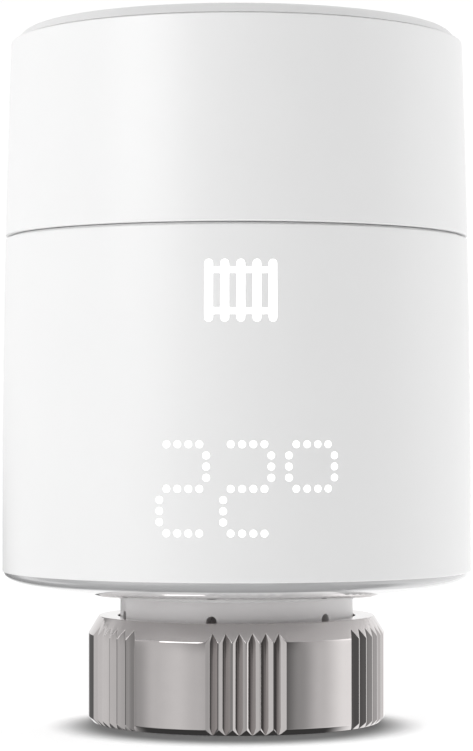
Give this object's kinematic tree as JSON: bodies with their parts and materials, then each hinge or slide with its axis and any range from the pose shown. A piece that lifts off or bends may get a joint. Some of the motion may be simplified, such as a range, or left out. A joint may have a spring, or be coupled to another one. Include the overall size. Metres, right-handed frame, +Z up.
{
  "type": "thermostatic radiator valve head",
  "caption": "Battery-powered radiator valve head with a turning cap, a dot-matrix temperature readout and a ribbed metal union nut.",
  "frame": {"origin": "centre of the union nut's lower face, on the valve's axis", "axes": "+Z up along the valve's axis, -Y towards whoever reads the display, +X to the right as they see it"},
  "size_m": [0.052, 0.052, 0.0766],
  "materials": {
    "white_plastic": "satin moulded, fine even grain",
    "pan_plastic": "polished",
    "neck_plastic": "satin moulded",
    "nickel": "satin nickel plate",
    "steel": "bright zinc plate",
    "brass": "turned",
    "gear_plastic": "natural acetal",
    "frame_plastic": "moulded, fine grain",
    "black_plastic": "moulded, fine grain",
    "magnet": "plastic-bonded ferrite",
    "circuit_board": "solder mask",
    "cell_sleeve": "printed sleeve, gloss",
    "led_body": "diffuse white",
    "clear_plastic": "translucent",
    "red_insulation": "smooth",
    "black_insulation": "smooth"
  },
  "bodies": {
    "root": {"base_cover": "pan_plastic", "battery_holder": "black_plastic", "battery_left": "cell_sleeve", "battery_right": "cell_sleeve", "battery_wire_black": "black_insulation", "battery_wire_red": "red_insulation", "board_connector": "black_plastic", "chassis_base": "frame_plastic", "collar_screw_1": "steel", "collar_screw_2": "steel", "collar_screw_3": "steel", "contact_link": "steel", "contact_plate_bottom": "steel", "contact_spring_bottom": "steel", "contact_spring_top": "steel", "display_housing": "white_plastic", "gearbox_plate": "frame_plastic", "gearbox_screw_1": "steel", "gearbox_screw_2": "steel", "gearbox_screw_3": "steel", "hall_sensor": "black_plastic", "idler_axle_1": "steel", "idler_axle_2": "steel", "knob_bearing_ring": "frame_plastic", "led_board": "circuit_board", "led_module_degree": "led_body", "led_module_symbol": "led_body", "led_module_tens": "led_body", "led_module_units": "led_body", "light_guide": "clear_plastic", "main_pcb": "circuit_board", "mcu_chip": "black_plastic", "motor_can": "steel", "motor_endcap": "black_plastic", "motor_wire_black": "black_insulation", "motor_wire_red": "red_insulation", "nut_slip_washer": "gear_plastic", "pairing_switch": "steel", "plunger_guide": "frame_plastic", "radio_module": "steel", "temperature_sensor": "black_plastic", "valve_collar": "neck_plastic"},
    "knob": {"knob_carrier": "frame_plastic", "knob_magnet_ring": "magnet"},
    "cap": {"knob_cap": "white_plastic"},
    "nut": {"union_nut": "nickel"},
    "output": {"output_gear": "gear_plastic"},
    "idler_2": {"idler_gear_2": "gear_plastic"},
    "idler_1": {"idler_gear_1": "gear_plastic"},
    "motor_rotor": {"motor_pinion": "brass"},
    "plunger": {"plunger": "brass"},
    "button": {"pairing_button": "white_plastic"}
  },
  "joints": [
    {"name": "knob_turn", "type": "hinge", "parent": "root", "child": "knob", "pos_m": [0, 0, 0.0555], "axis": [0, 0, 1], "continuous": true},
    {"name": "cap_lift", "type": "slide", "parent": "knob", "child": "cap", "axis": [0, 0, 1], "range_m": [0, 0.03]},
    {"name": "union_nut_turn", "type": "hinge", "parent": "root", "child": "nut", "pos_m": [0, 0, 0.006], "axis": [0, 0, 1], "continuous": true},
    {"name": "plunger_push", "type": "slide", "parent": "root", "child": "plunger", "axis": [0, 0, -1], "range_m": [0, 0.0045]},
    {"name": "output_gear_turn", "type": "hinge", "parent": "root", "child": "output", "pos_m": [0, 0, 0.019], "axis": [0, 0, 1], "range_deg": [0, 811]},
    {"name": "idler_2_turn", "type": "hinge", "parent": "root", "child": "idler_2", "pos_m": [0.01051, -0.0049, 0.0195], "axis": [0, 0, 1], "range_deg": [-3890, 0]},
    {"name": "idler_1_turn", "type": "hinge", "parent": "root", "child": "idler_1", "pos_m": [0.00405, -0.01087, 0.021], "axis": [0, 0, 1], "range_deg": [0, 13222]},
    {"name": "motor_turn", "type": "hinge", "parent": "root", "child": "motor_rotor", "pos_m": [-0.00432, -0.01012, 0.022], "axis": [0, 0, 1], "range_deg": [-42305, 0]},
    {"name": "pairing_button_press", "type": "slide", "parent": "root", "child": "button", "axis": [0, 1, 0], "range_m": [0, 0.0003], "stiffness_N_per_m": 600}
  ],
  "couplings": [
    {"joint": "output_gear_turn", "follows": "plunger_push", "rad_per_m": 3141.6},
    {"joint": "idler_2_turn", "follows": "plunger_push", "rad_per_m": -15080},
    {"joint": "idler_1_turn", "follows": "plunger_push", "rad_per_m": 51271},
    {"joint": "motor_turn", "follows": "plunger_push", "rad_per_m": -164070}
  ]
}
